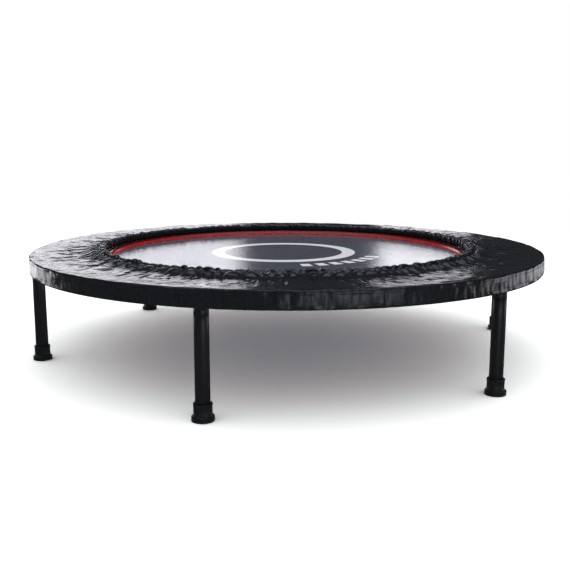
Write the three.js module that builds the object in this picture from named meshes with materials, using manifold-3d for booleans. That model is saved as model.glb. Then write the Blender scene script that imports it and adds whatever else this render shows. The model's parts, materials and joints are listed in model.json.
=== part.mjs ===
// Mini trampoline with a sprung mat, a gathered frame cover and six screw-in legs.
// Millimetres, +Z up. The origin is on the floor, under the centre of the mat.
import * as THREE from "three";
import { mergeVertices } from "three/addons/utils/BufferGeometryUtils.js";
import Module from "manifold-3d";

const wasm = await Module();
wasm.setup();

// ---------------------------------------------------------------- driving dimensions

const GAP = 0.3; // assembly gap between neighbouring pieces
const LEG_COUNT = 6;
const SPRING_COUNT = 30;
const RING_SEGMENTS = 60; // puts a corner of every ring at each leg and at each spring

// Frame cover: a thin padded ring with a skirt outside and a gathered elastic hem inside
const COVER_RADIUS = 508;
const COVER_TOP = 206;
const COVER_PAD = 2.5;
const COVER_CORNER = 3;
const SKIRT_FABRIC = 2;
const SKIRT_DROP = 30;
const OPENING_RADIUS = 366;
const GATHER_RADIUS = 6.5;
const GATHER_RISE = 1.5; // how far the middle of the gathered hem stands above the cover
const GATHER_SLIT = 0.4; // half the seam gap under the gathered hem
const RISE_RADIUS = 415; // where the cover starts to climb towards the hem
const ELASTIC_RADIUS = 2.5;

// Frame: one welded tube ring, tucked inside the top outer corner of the cover
const TUBE_RADIUS = 12.7;
const TUBE_WALL = 1.5;
const RING_RADIUS = COVER_RADIUS - SKIRT_FABRIC - GAP - TUBE_RADIUS;
const RING_Z = COVER_TOP - COVER_PAD - GAP - TUBE_RADIUS;
const HOOK_HOLE_RADIUS = 3.5;
const TUBE_SIDES = 10;

// Mat: a woven disc whose edge is sewn into a bound roll around a steel hoop
const MAT_TOP = 192.5;
const MAT_THICKNESS = 1.5;
const MAT_RADIUS = 354;
const HOOP_RADIUS = 361;
const ROD_RADIUS = 2.5;
const BINDING_RADIUS = 10;
const BINDING_LIP_RADIUS = 346;
const BINDING_LIP = 0.9; // thickness of the two leaves where they grip the mat
const NOTCH_WIDTH = 10;
const NOTCH_INNER_RADIUS = 354.6;
const NOTCH_TOP = RING_Z + 6.8;

// Springs: close-wound steel, hooked through the frame tube and around the hoop
const COIL_RADIUS = 5.25;
const COIL_INNER = 374.5;
const COIL_OUTER = 468;
const WIRE_RADIUS = 1.25;
const HOOK_BEND = 4.5; // radius of the bend around the hoop

// Legs: a tube with a threaded stud on top and a rubber foot below
const LEG_RADIUS = 11.75;
const LEG_WALL = 1.3;
const LEG_TOP = 164;
const THREAD_RADIUS = 5.9;
const THREAD_LENGTH = 13.4;
const THREAD_CLEARANCE = 0.4;
const PLUG_LENGTH = 10;
const SOCKET_TOP = 183;
const FOOT_RADIUS = 18;
const FOOT_BASE = 8;
const FOOT_HEIGHT = 28;
const FOOT_COLLAR_RADIUS = 14.1;
const FOOT_GROOVE = 0.7;

const FULL_TURN = 2 * Math.PI;
const LEG_STEP = FULL_TURN / LEG_COUNT;
const SPRING_STEP = FULL_TURN / SPRING_COUNT;

// ---------------------------------------------------------------- materials

const finish = (color, roughness, metalness = 0) =>
  new THREE.MeshStandardMaterial({ color, roughness, metalness });

const powderCoat = finish(0x17171b, 0.45, 0.3);
const rubber = finish(0x101013, 0.7);
const zincSteel = finish(0xb9bdc4, 0.35, 0.9);
const coverVinyl = finish(0x1c1c22, 0.35);
const matWeave = finish(0x2c2b36, 0.3);
const redBinding = finish(0xb81a1f, 0.35);
const elastic = finish(0x2a2a2e, 0.8);

// ---------------------------------------------------------------- geometry helpers

// A profile of [radius, height] points turned about the Z axis.
function turned(profile, segments) {
  const points = profile.map(([radius, height]) => new THREE.Vector2(radius, height));
  return new THREE.LatheGeometry(points, segments).rotateX(Math.PI / 2);
}

// A closed profile that stays clear of the axis, turned into a ring.
const ringOf = (profile) => turned([...profile, profile[0]], RING_SEGMENTS);

// Points of an arc in the [radius, height] plane, from one angle to another, both in degrees.
function arc(centreRadius, centreHeight, radius, from, to, steps) {
  return Array.from({ length: steps + 1 }, (_, i) => {
    const angle = THREE.MathUtils.degToRad(from + ((to - from) * i) / steps);
    return [centreRadius + radius * Math.cos(angle), centreHeight + radius * Math.sin(angle)];
  });
}

// A solid ring of round section.
function roundRing(ringRadius, height, sectionRadius, sides) {
  return ringOf(arc(ringRadius, height, sectionRadius, 0, 360 - 360 / sides, sides - 1));
}

// An upright cylinder between two heights.
function post(radius, bottom, top, sides) {
  return new THREE.CylinderGeometry(radius, radius, top - bottom, sides)
    .rotateX(Math.PI / 2)
    .translate(0, 0, (top + bottom) / 2);
}

// A round wire along a smooth path through the given [x, z] points, in the plane y = 0.
function wire(points, steps) {
  const path = new THREE.CatmullRomCurve3(points.map(([x, z]) => new THREE.Vector3(x, 0, z)));
  const section = new THREE.Shape().absarc(0, 0, WIRE_RADIUS, 0, FULL_TURN);
  return new THREE.ExtrudeGeometry(section, {
    extrudePath: path,
    steps,
    curveSegments: 2,
    bevelEnabled: false,
  });
}

// A geometry as a manifold-3d solid, for joining and cutting.
function solidOf(geometry) {
  const bare = new THREE.BufferGeometry();
  bare.setAttribute("position", geometry.getAttribute("position"));
  bare.setIndex(geometry.getIndex());
  const merged = mergeVertices(bare, 1e-4);
  return new wasm.Manifold(
    new wasm.Mesh({
      numProp: 3,
      vertProperties: new Float32Array(merged.getAttribute("position").array),
      triVerts: new Uint32Array(merged.getIndex().array),
    }),
  );
}

// A manifold-3d solid as a geometry again.
function geometryOf(solid) {
  const { vertProperties, triVerts } = solid.getMesh();
  const geometry = new THREE.BufferGeometry();
  geometry.setAttribute("position", new THREE.BufferAttribute(vertProperties, 3));
  geometry.setIndex(new THREE.BufferAttribute(triVerts, 1));
  geometry.computeVertexNormals();
  return geometry;
}

// Copies of one cutter, one at each spring, as a single solid.
function atEachSpring(geometry) {
  const copies = Array.from({ length: SPRING_COUNT }, (_, i) =>
    solidOf(geometry.clone().rotateZ((i + 0.5) * SPRING_STEP)),
  );
  return wasm.Manifold.union(copies);
}

function named(name, geometry, material) {
  const mesh = new THREE.Mesh(geometry, material);
  mesh.name = name;
  return mesh;
}

// ---------------------------------------------------------------- frame

// The hollow tube ring, with a hole in its inner side for each spring hook.
function frameRing() {
  const outside = solidOf(roundRing(RING_RADIUS, RING_Z, TUBE_RADIUS, TUBE_SIDES));
  const inside = solidOf(roundRing(RING_RADIUS, RING_Z, TUBE_RADIUS - TUBE_WALL, 6));
  const hole = new THREE.CylinderGeometry(HOOK_HOLE_RADIUS, HOOK_HOLE_RADIUS, TUBE_RADIUS, 6)
    .rotateZ(Math.PI / 2)
    .translate(RING_RADIUS - TUBE_RADIUS, 0, RING_Z);
  return geometryOf(outside.subtract(inside).subtract(atEachSpring(hole)));
}

// A threaded boss saddled to the underside of the ring at angle zero.
function legSocket() {
  const boss = solidOf(post(LEG_RADIUS, LEG_TOP, SOCKET_TOP, 16).translate(RING_RADIUS, 0, 0));
  const saddle = solidOf(roundRing(RING_RADIUS, RING_Z, TUBE_RADIUS + GAP, TUBE_SIDES));
  const boreRadius = THREAD_RADIUS + THREAD_CLEARANCE;
  const bore = solidOf(post(boreRadius, LEG_TOP - 1, SOCKET_TOP + 1, 12).translate(RING_RADIUS, 0, 0));
  return geometryOf(boss.subtract(saddle).subtract(bore));
}

// ---------------------------------------------------------------- cover

// The cover's section: skirt, padded top and a gathered hem folded round the elastic.
function frameCover() {
  const gatherZ = COVER_TOP + GATHER_RISE;
  const gatherCentre = OPENING_RADIUS + GATHER_RADIUS;
  const underside = COVER_TOP - COVER_PAD;
  const skirtBottom = COVER_TOP - SKIRT_DROP;
  const channelRadius = ELASTIC_RADIUS + GAP + 0.2;
  const joinAngle = 50; // degrees above level where the cover meets the hem
  return ringOf([
    [COVER_RADIUS, skirtBottom],
    [COVER_RADIUS, COVER_TOP - COVER_CORNER],
    [COVER_RADIUS - COVER_CORNER, COVER_TOP],
    [RISE_RADIUS, COVER_TOP],
    ...arc(gatherCentre, gatherZ, GATHER_RADIUS, joinAngle, 265, 6),
    [gatherCentre - GATHER_SLIT, gatherZ - channelRadius],
    ...arc(gatherCentre, gatherZ, channelRadius, 240, -60, 5),
    [gatherCentre + GATHER_SLIT, gatherZ - channelRadius],
    ...arc(gatherCentre, gatherZ, GATHER_RADIUS, -85, 10, 2),
    [RISE_RADIUS, underside],
    [COVER_RADIUS - SKIRT_FABRIC, underside],
    [COVER_RADIUS - SKIRT_FABRIC, skirtBottom],
  ]);
}

// The elastic cord that draws the hem in.
function coverElastic() {
  return roundRing(OPENING_RADIUS + GATHER_RADIUS, COVER_TOP + GATHER_RISE, ELASTIC_RADIUS, 5);
}

// ---------------------------------------------------------------- mat

function jumpingMat() {
  return turned(
    [
      [0, MAT_TOP - MAT_THICKNESS],
      [MAT_RADIUS, MAT_TOP - MAT_THICKNESS],
      [MAT_RADIUS, MAT_TOP],
      [0, MAT_TOP],
    ],
    RING_SEGMENTS,
  );
}

// The bound roll: two leaves that grip the mat's edge, and a channel round the hoop.
// A notch under each spring lets its hook reach the hoop, and leaves the top whole.
function matBinding() {
  const slotTop = MAT_TOP + GAP;
  const slotBottom = MAT_TOP - MAT_THICKNESS - GAP;
  const channelRadius = ROD_RADIUS + 2 * GAP;
  const roll = ringOf([
    [BINDING_LIP_RADIUS, slotTop + BINDING_LIP],
    [BINDING_LIP_RADIUS, slotTop],
    ...arc(HOOP_RADIUS, RING_Z, channelRadius, 130, -175, 5),
    [BINDING_LIP_RADIUS, slotBottom],
    [BINDING_LIP_RADIUS, slotBottom - BINDING_LIP],
    ...arc(HOOP_RADIUS, RING_Z, BINDING_RADIUS, -120, 120, 6),
  ]);
  const depth = BINDING_RADIUS * 2;
  const reach = HOOP_RADIUS + BINDING_RADIUS + 1 - NOTCH_INNER_RADIUS;
  const notch = new THREE.BoxGeometry(reach, NOTCH_WIDTH, depth).translate(
    NOTCH_INNER_RADIUS + reach / 2,
    0,
    NOTCH_TOP - depth / 2,
  );
  return geometryOf(solidOf(roll).subtract(atEachSpring(notch)));
}

function matHoop() {
  return roundRing(HOOP_RADIUS, RING_Z, ROD_RADIUS, 5);
}

// ---------------------------------------------------------------- springs

// One spring, lying along +X from the hoop to the frame tube.
function spring() {
  const coil = new THREE.CylinderGeometry(COIL_RADIUS, COIL_RADIUS, COIL_OUTER - COIL_INNER, 8)
    .rotateZ(Math.PI / 2)
    .translate((COIL_OUTER + COIL_INNER) / 2, 0, RING_Z);
  const bendX = HOOP_RADIUS + 0.4; // the hook bears on the mat side of the hoop
  const bend = arc(bendX, RING_Z, HOOK_BEND, 90, 270, 4);
  const hoopHook = wire([[COIL_INNER + 3, RING_Z + 3.2], ...bend, [bendX + 3, RING_Z - HOOK_BEND]], 7);
  const tipX = RING_RADIUS - 5;
  const frameHook = wire(
    [
      [COIL_OUTER - 2, RING_Z],
      [tipX - 5, RING_Z],
      [tipX - 1, RING_Z - 1],
      [tipX, RING_Z - 5.5],
    ],
    4,
  );
  return geometryOf(solidOf(coil).add(solidOf(hoopHook)).add(solidOf(frameHook)));
}

// ---------------------------------------------------------------- legs

const PLUG_RADIUS = LEG_RADIUS - LEG_WALL - GAP;

// The threaded stud and the plug that holds it in the top of the tube.
function legStud() {
  const plugTop = LEG_TOP - GAP;
  const bottom = plugTop - PLUG_LENGTH;
  return turned(
    [
      [0, bottom],
      [PLUG_RADIUS, bottom],
      [PLUG_RADIUS, plugTop],
      [THREAD_RADIUS, plugTop],
      [THREAD_RADIUS, LEG_TOP + THREAD_LENGTH - 1],
      [THREAD_RADIUS - 1, LEG_TOP + THREAD_LENGTH],
      [0, LEG_TOP + THREAD_LENGTH],
    ],
    12,
  );
}

function legTube() {
  const bottom = FOOT_BASE + GAP;
  const top = LEG_TOP - GAP;
  const bore = LEG_RADIUS - LEG_WALL;
  const profile = [
    [LEG_RADIUS, bottom],
    [LEG_RADIUS, top],
    [bore, top],
    [bore, bottom],
  ];
  return turned([...profile, profile[0]], 16);
}

// A rubber ferrule: a flanged base with a groove round it, and a collar that grips the tube.
function legFoot() {
  const tubeFit = LEG_RADIUS + GAP;
  return turned(
    [
      [0, 0],
      [FOOT_RADIUS - 1.4, 0],
      [FOOT_RADIUS, 1.4],
      [FOOT_RADIUS, FOOT_BASE / 2],
      [FOOT_RADIUS - FOOT_GROOVE, FOOT_BASE / 2 + FOOT_GROOVE],
      [FOOT_RADIUS, FOOT_BASE / 2 + 2 * FOOT_GROOVE],
      [FOOT_RADIUS, FOOT_BASE],
      [FOOT_COLLAR_RADIUS, FOOT_BASE + 0.8],
      [FOOT_COLLAR_RADIUS, FOOT_HEIGHT],
      [tubeFit, FOOT_HEIGHT],
      [tubeFit, FOOT_BASE],
      [0, FOOT_BASE],
    ],
    16,
  );
}

// ---------------------------------------------------------------- assembly

const trampoline = new THREE.Group();

trampoline.add(
  named("frame_ring", frameRing(), powderCoat),
  named("frame_cover", frameCover(), coverVinyl),
  named("cover_elastic", coverElastic(), elastic),
  named("jumping_mat", jumpingMat(), matWeave),
  named("mat_binding", matBinding(), redBinding),
  named("mat_hoop", matHoop(), zincSteel),
);

const springGeometry = spring();
for (let i = 0; i < SPRING_COUNT; i++) {
  const number = String(i + 1).padStart(2, "0");
  const mesh = named(`spring_${number}`, springGeometry, zincSteel);
  mesh.rotation.z = (i + 0.5) * SPRING_STEP;
  trampoline.add(mesh);
}

const socketGeometry = legSocket();
const studGeometry = legStud();
const tubeGeometry = legTube();
const footGeometry = legFoot();
for (let i = 0; i < LEG_COUNT; i++) {
  const angle = i * LEG_STEP;
  const socket = named(`leg_${i + 1}_socket`, socketGeometry, powderCoat);
  socket.rotation.z = angle;
  const leg = new THREE.Group();
  leg.position.set(RING_RADIUS * Math.cos(angle), RING_RADIUS * Math.sin(angle), 0);
  leg.add(
    named(`leg_${i + 1}_stud`, studGeometry, zincSteel),
    named(`leg_${i + 1}_tube`, tubeGeometry, powderCoat),
    named(`leg_${i + 1}_foot`, footGeometry, rubber),
  );
  trampoline.add(socket, leg);
}

export default trampoline;
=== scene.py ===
"""Looks for the mini trampoline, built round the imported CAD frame.

Metres, +Z up, the origin on the floor under the mat's centre. The legs stand at 0, 60, 120 ... degrees.
"""

import json
import math

import bmesh
import bpy
import numpy as np
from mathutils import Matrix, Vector

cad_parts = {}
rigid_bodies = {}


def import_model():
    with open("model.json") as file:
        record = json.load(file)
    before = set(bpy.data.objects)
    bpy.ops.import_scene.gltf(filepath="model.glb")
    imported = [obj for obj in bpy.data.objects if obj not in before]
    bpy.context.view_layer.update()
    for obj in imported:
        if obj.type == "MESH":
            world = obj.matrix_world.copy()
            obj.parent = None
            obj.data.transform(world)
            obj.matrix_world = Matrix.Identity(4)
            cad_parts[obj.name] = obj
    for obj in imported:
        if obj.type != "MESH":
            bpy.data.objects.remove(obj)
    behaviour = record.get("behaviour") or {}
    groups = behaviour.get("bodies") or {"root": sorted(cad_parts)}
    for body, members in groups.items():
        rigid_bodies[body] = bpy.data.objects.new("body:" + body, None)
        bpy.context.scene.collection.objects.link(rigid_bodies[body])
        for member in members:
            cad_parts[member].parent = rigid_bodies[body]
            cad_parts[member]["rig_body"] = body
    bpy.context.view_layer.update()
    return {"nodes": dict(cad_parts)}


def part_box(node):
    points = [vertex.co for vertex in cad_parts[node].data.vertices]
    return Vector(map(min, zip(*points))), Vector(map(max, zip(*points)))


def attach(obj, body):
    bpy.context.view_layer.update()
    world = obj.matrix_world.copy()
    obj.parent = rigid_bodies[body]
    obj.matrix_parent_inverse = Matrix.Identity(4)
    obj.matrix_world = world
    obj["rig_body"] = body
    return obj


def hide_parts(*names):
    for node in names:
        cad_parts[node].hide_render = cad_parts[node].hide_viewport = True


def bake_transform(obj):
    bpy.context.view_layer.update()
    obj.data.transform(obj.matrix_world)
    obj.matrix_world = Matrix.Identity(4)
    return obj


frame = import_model()

# ------------------------------------------------------------------ dimensions, from the frame

MM = 0.001
TAU = 2 * math.pi
LEGS = 6
SPRINGS = 30

cover_low, cover_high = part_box("frame_cover")
ring_low, ring_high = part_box("frame_ring")
mat_low, mat_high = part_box("jumping_mat")
hoop_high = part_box("mat_hoop")[1]
socket_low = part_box("leg_1_socket")[0]
stud_low, stud_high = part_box("leg_1_stud")
leg_low, leg_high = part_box("leg_1_tube")
foot_low, foot_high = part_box("leg_1_foot")
elastic_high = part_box("cover_elastic")[1]

LEG_X = (leg_low.x + leg_high.x) / 2
LEG_R = (leg_high.x - leg_low.x) / 2
RING_R = LEG_X
RING_Z = (ring_low.z + ring_high.z) / 2
TUBE_R = ring_high.x - RING_R
COVER_R = cover_high.x
SKIRT_Z = cover_low.z
COVER_Z = RING_Z + TUBE_R + 2.8 * MM  # the cover's fabric and a hair's gap lie on the tube
ROLL_R = 6.5 * MM
ROLL_Z = cover_high.z - ROLL_R
ELASTIC_R = 2.5 * MM
ROLL_X = elastic_high.x - ELASTIC_R
MAT_Z = mat_high.z
MAT_R = mat_high.x
ROD_R = 2.5 * MM
HOOP_R = hoop_high.x - ROD_R
BINDING_R = 10 * MM
FOOT_R = (foot_high.x - foot_low.x) / 2
FOOT_Z = foot_high.z


# ------------------------------------------------------------------ mesh helpers


def add_object(name, mesh, material, smooth=True):
    """Links a finished mesh as a piece."""
    for polygon in mesh.polygons:
        polygon.use_smooth = smooth
    mesh.materials.append(material)
    piece = bpy.data.objects.new(name, mesh)
    bpy.context.scene.collection.objects.link(piece)
    return piece


def mesh_of(name, vertices, faces):
    mesh = bpy.data.meshes.new(name)
    mesh.from_pydata(np.asarray(vertices).reshape(-1, 3).tolist(), [], faces)
    mesh.update()
    return mesh


def grid_faces(rows, columns, wrap_rows=False, offset=0):
    """Quads of a grid whose columns wrap round; rows wrap too if asked."""
    index = np.arange(rows * columns).reshape(rows, columns) + offset
    if wrap_rows:
        index = np.vstack([index, index[:1]])
    low, high = index[:-1], index[1:]
    quads = np.stack([low, np.roll(low, -1, 1), np.roll(high, -1, 1), high], -1)
    return quads.reshape(-1, 4).tolist()


def grid_mesh(name, points, wrap_rows=False, caps=False):
    """A mesh from points[row, column]; caps closes the first and last row with a face."""
    rows, columns = points.shape[:2]
    faces = grid_faces(rows, columns, wrap_rows)
    if caps:
        faces.append(list(range(columns))[::-1])
        faces.append([(rows - 1) * columns + i for i in range(columns)])
    return mesh_of(name, points, faces)


def grid_piece(name, points, material, slot, **closing):
    """A piece from points[row, column]; closing says how the grid is closed."""
    return add_object(name, grid_mesh(name, points, **closing), material)


def turned(profile, columns, centre=(0, 0)):
    """Points of a (radius, height) profile turned about a vertical axis."""
    profile = np.asarray(profile, float)
    angle = np.arange(columns) * TAU / columns
    radius, height = profile[:, :1], profile[:, 1:]
    x = centre[0] + radius * np.cos(angle)
    y = centre[1] + radius * np.sin(angle)
    return np.stack([x, y, height + 0 * angle], -1)


def circle(radius, height, count):
    """Points of a level circle round the object's axis."""
    turn = np.arange(count) * TAU / count
    return np.stack([radius * np.cos(turn), radius * np.sin(turn), 0 * turn + height], -1)


def arc(centre_r, centre_z, radius, start, end, steps):
    """Profile points of an arc, from one angle to another, in degrees."""
    angle = np.radians(np.linspace(start, end, steps + 1))
    return np.stack([centre_r + radius * np.cos(angle), centre_z + radius * np.sin(angle)], -1)


def resampled(points, count, closed=False):
    """The same path with evenly spaced points."""
    points = np.asarray(points, float)
    if closed:
        points = np.vstack([points, points[:1]])
    step = np.linalg.norm(np.diff(points, axis=0), axis=1)
    along = np.concatenate([[0], np.cumsum(step)])
    wanted = np.linspace(0, along[-1], count, endpoint=not closed)
    return np.stack([np.interp(wanted, along, points[:, k]) for k in range(points.shape[1])], -1)


def spline(points, steps):
    """A smooth path through the points (Catmull-Rom)."""
    p = np.asarray(points, float)
    p = np.vstack([2 * p[0] - p[1], p, 2 * p[-1] - p[-2]])
    t = np.linspace(0, 1, steps, endpoint=False)[:, None]
    runs = [
        0.5 * (2 * b + (c - a) * t + (2 * a - 5 * b + 4 * c - d) * t**2 + (3 * b - a - 3 * c + d) * t**3)
        for a, b, c, d in zip(p, p[1:], p[2:], p[3:])
    ]
    return np.vstack(runs + [p[-2:-1]])


def swept(path, radius, sides, closed=False):
    """Points[row, side] of a round bar along a path, without twist."""
    path = np.asarray(path, float)
    if closed:
        tangent = np.roll(path, -1, 0) - np.roll(path, 1, 0)
    else:
        tangent = np.gradient(path, axis=0)
    tangent /= np.linalg.norm(tangent, axis=1)[:, None]
    normal = np.zeros_like(path)
    side = np.array([0.0, 0.0, 1.0]) if abs(tangent[0, 2]) < 0.9 else np.array([0.0, 1.0, 0.0])
    for i, t in enumerate(tangent):
        side = side - t * (side @ t)
        side /= np.linalg.norm(side)
        normal[i] = side
    binormal = np.cross(tangent, normal)
    angle = np.arange(sides) * TAU / sides
    radius = np.broadcast_to(np.asarray(radius, float), len(path))[:, None, None]
    spoke = (
        np.cos(angle)[None, :, None] * normal[:, None]
        + np.sin(angle)[None, :, None] * binormal[:, None]
    )
    return path[:, None] + radius * spoke


def noise(u, v, cells_u, cells_v, seed):
    """Smooth noise from -1 to 1 on a lattice; u and v run from 0 to 1 and u wraps."""
    table = np.random.default_rng(seed).uniform(-1, 1, (cells_v + 2, cells_u))
    x = (u % 1.0) * cells_u
    y = np.clip(v, 0, 1) * cells_v
    column = np.floor(x).astype(int)
    row = np.floor(y).astype(int)
    fx, fy = x - column, y - row
    fx, fy = fx * fx * (3 - 2 * fx), fy * fy * (3 - 2 * fy)
    left, right = column % cells_u, (column + 1) % cells_u
    low = table[row, left] * (1 - fx) + table[row, right] * fx
    high = table[row + 1, left] * (1 - fx) + table[row + 1, right] * fx
    return low * (1 - fy) + high * fy


def uneven(count, seed, share):
    """Places round a full turn, from 0 to 1, evenly spaced but for a share of a step."""
    return (np.arange(count) + np.random.default_rng(seed).uniform(-share, share, count)) / count


def puffed(u, places, seed, power=2.0):
    """0 at each of the places and 1 half way between them, times an uneven size for each puff."""
    count = len(places)
    ends = np.concatenate([places[-1:] - 1, places, places[:1] + 1])
    phase = np.interp((u - places[0]) % 1.0 + places[0], ends, np.arange(-1, count + 1))
    size = np.random.default_rng(seed).uniform(0.5, 1.3, count)
    puff = np.floor(phase).astype(int)
    across = 2 * (phase - puff) - 1
    return (1 - np.abs(across) ** power) ** 0.5 * size[puff % count]


def creases(u, radius, places, start, length, depth, width, lean, seed, open_start=False):
    """Depth of narrow valleys that run outwards, one from each place.

    start, length and depth are ranges. With open_start a valley is widest and deepest at its
    start, and it narrows outwards; without, it fades at both ends.
    """
    count = len(places)
    random = np.random.default_rng(seed)
    begin = random.uniform(*start, count)
    reach = random.uniform(*length, count)
    deep = random.uniform(*depth, count)
    slant = random.uniform(-lean, lean, count)
    cell = np.floor((u % 1.0) * count).astype(int)
    total = np.zeros_like(u)
    for side in (-1, 0, 1):
        k = (cell + side) % count
        away = (u - places[k] + 0.5) % 1.0 - 0.5
        along = (radius - begin[k]) / reach[k]
        across = away * TAU * radius - slant[k] * (radius - begin[k])
        if open_start:
            fade = np.clip(1 - along, 0, 1) ** 0.7
            wide = width * (0.25 + 0.75 * np.clip(1 - along, 0, 1))
        else:
            fade = np.clip(4 * along * (1 - along), 0, 1)
            wide = width
        total += deep[k] * np.exp(-((across / wide) ** 2)) * fade
    return total


def ramp(x, start, end):
    """0 before start, 1 after end, smooth between."""
    t = np.clip((x - start) / (end - start), 0, 1)
    return t * t * (3 - 2 * t)


def at_angle(points, angle):
    """Points turned about the object's axis."""
    points = np.asarray(points)
    c, s = math.cos(angle), math.sin(angle)
    turn = np.array([[c, s, 0], [-s, c, 0], [0, 0, 1]])
    return (points.reshape(-1, 3) @ turn).reshape(points.shape)


def replace(piece, *nodes):
    """piece stands for CAD nodes that share one body, and moves with that body."""
    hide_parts(*nodes)
    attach(piece, frame["nodes"][nodes[0]]["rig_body"])
    return piece


# ------------------------------------------------------------------ materials


class Nodes:
    """A short way to write a node tree."""

    def __init__(self, name):
        self.material = bpy.data.materials.new(name)
        self.material.use_nodes = True
        self.tree = self.material.node_tree
        self.shader = self.tree.nodes["Principled BSDF"]

    def add(self, kind, **values):
        node = self.tree.nodes.new("ShaderNode" + kind)
        for key, value in values.items():
            if hasattr(node, key):
                setattr(node, key, value)
            else:
                self.put(value, node, key.replace("_", " "))
        return node

    def put(self, value, node, key):
        """Sets an input to a number or colour, or joins it to another node's output."""
        socket = node.inputs[key]
        if isinstance(value, bpy.types.NodeSocket):
            self.tree.links.new(value, socket)
        elif isinstance(value, bpy.types.Node):
            self.tree.links.new(value.outputs[0], socket)
        else:
            socket.default_value = value

    def math(self, operation, a, b=0.0, c=0.0):
        node = self.add("Math", operation=operation)
        for i, value in enumerate((a, b, c)):
            self.put(value, node, i)
        return node.outputs[0]

    def mix(self, factor, a, b):
        node = self.add("Mix", data_type="RGBA")
        for key, value in (("Factor", factor), ("A", a), ("B", b)):
            socket = next(s for s in node.inputs if s.name == key and s.enabled)
            if isinstance(value, bpy.types.NodeSocket):
                self.tree.links.new(value, socket)
            else:
                socket.default_value = value
        return next(s for s in node.outputs if s.enabled)

    def between(self, value, low, high, to_low, to_high):
        node = self.add("MapRange")
        for key, v in (
            ("Value", value), ("From Min", low), ("From Max", high),
            ("To Min", to_low), ("To Max", to_high),
        ):
            self.put(v, node, key)
        return node.outputs[0]

    def place(self):
        return self.add("TexCoord").outputs["Object"]

    def noise(self, scale, detail=3.0, rough=0.5, vector=None):
        node = self.add("TexNoise", Scale=scale, Detail=detail, Roughness=rough)
        self.put(vector or self.place(), node, "Vector")
        return node.outputs["Fac"]

    def bump(self, height, strength, distance, under=None):
        node = self.add("Bump", Strength=strength, Distance=distance)
        self.put(height, node, "Height")
        if under is not None:
            self.put(under, node, "Normal")
        return node.outputs[0]

    def surface(self, **values):
        names = {"color": "Base Color", "specular": "Specular IOR Level", "coat": "Coat Weight",
                 "coat_rough": "Coat Roughness"}
        for key, value in values.items():
            self.put(value, self.shader, names.get(key, key.title()))
        return self.material


def grey(level, tint=0.0):
    """A near-neutral colour, bluer for a positive tint."""
    return (level * (1 - tint), level * (1 - tint / 2), level * (1 + tint), 1)


def cover_vinyl():
    """Shiny coated cloth: dark, crinkled, with a fine grain and scuffed patches."""
    n = Nodes("cover_vinyl")
    place = n.place()
    split = n.add("SeparateXYZ")
    n.put(place, split, 0)
    x, y, z = split.outputs
    radius = n.math("SQRT", n.math("ADD", n.math("MULTIPLY", x, x), n.math("MULTIPLY", y, y)))
    polar = n.add("CombineXYZ")  # crinkles in it are about twice as long outwards as they are wide
    for i, value in enumerate((n.math("DIVIDE", x, radius), n.math("DIVIDE", y, radius))):
        n.put(n.math("MULTIPLY", value, 0.44), polar, i)
    n.put(n.math("ADD", n.math("MULTIPLY", radius, 0.45), n.math("MULTIPLY", z, 0.6)), polar, 2)
    crinkle = n.noise(90, 4, 0.55, polar.outputs[0])
    from_middle = n.math("ABSOLUTE", n.math("SUBTRACT", crinkle, 0.5))
    sharp = n.between(from_middle, 0.0, 0.06, 0.0, 1.0)  # narrow valleys where the noise crosses its middle
    grain = n.noise(1300, 1)
    height = n.math("ADD", n.math("MULTIPLY", sharp, 0.5), n.math("MULTIPLY", grain, 0.06))
    patches = n.noise(14, 4)
    gathered = n.between(radius, 378 * MM, 386 * MM, 0.03, 0.0)  # rougher where it is bunched up
    pinched = n.add("NewGeometry").outputs["Pointiness"]
    crease_shaded_specular = n.between(pinched, 0.43, 0.49, 0.05, 0.7)  # painted shade: the specular is lowered in the creases, so they stay dark
    upright = n.add("CombineXYZ", X=x, Y=y, Z=n.math("MULTIPLY", z, 0.15))  # stretched upwards
    streaks = n.between(n.noise(140, 3, 0.6, upright.outputs[0]), 0.38, 0.58, 0.65, 0.0)
    on_skirt = n.between(radius, COVER_R - 4 * MM, COVER_R - 2 * MM, 0.0, 1.0)
    smoky = n.math("SUBTRACT", 1.0, n.math("MULTIPLY", streaks, on_skirt))
    return n.surface(
        color=n.mix(patches, grey(0.005, 0.16), grey(0.011, 0.18)),
        roughness=n.math("ADD", n.between(n.noise(60, 4), 0.3, 0.7, 0.17, 0.27), gathered),
        specular=n.math("MULTIPLY", crease_shaded_specular, smoky),
        normal=n.bump(height, 0.3, 0.4 * MM),
    )


PRINT_CENTRE = (-3.0 * MM, 15.0 * MM)  # the print sits a little off the mat's centre


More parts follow.
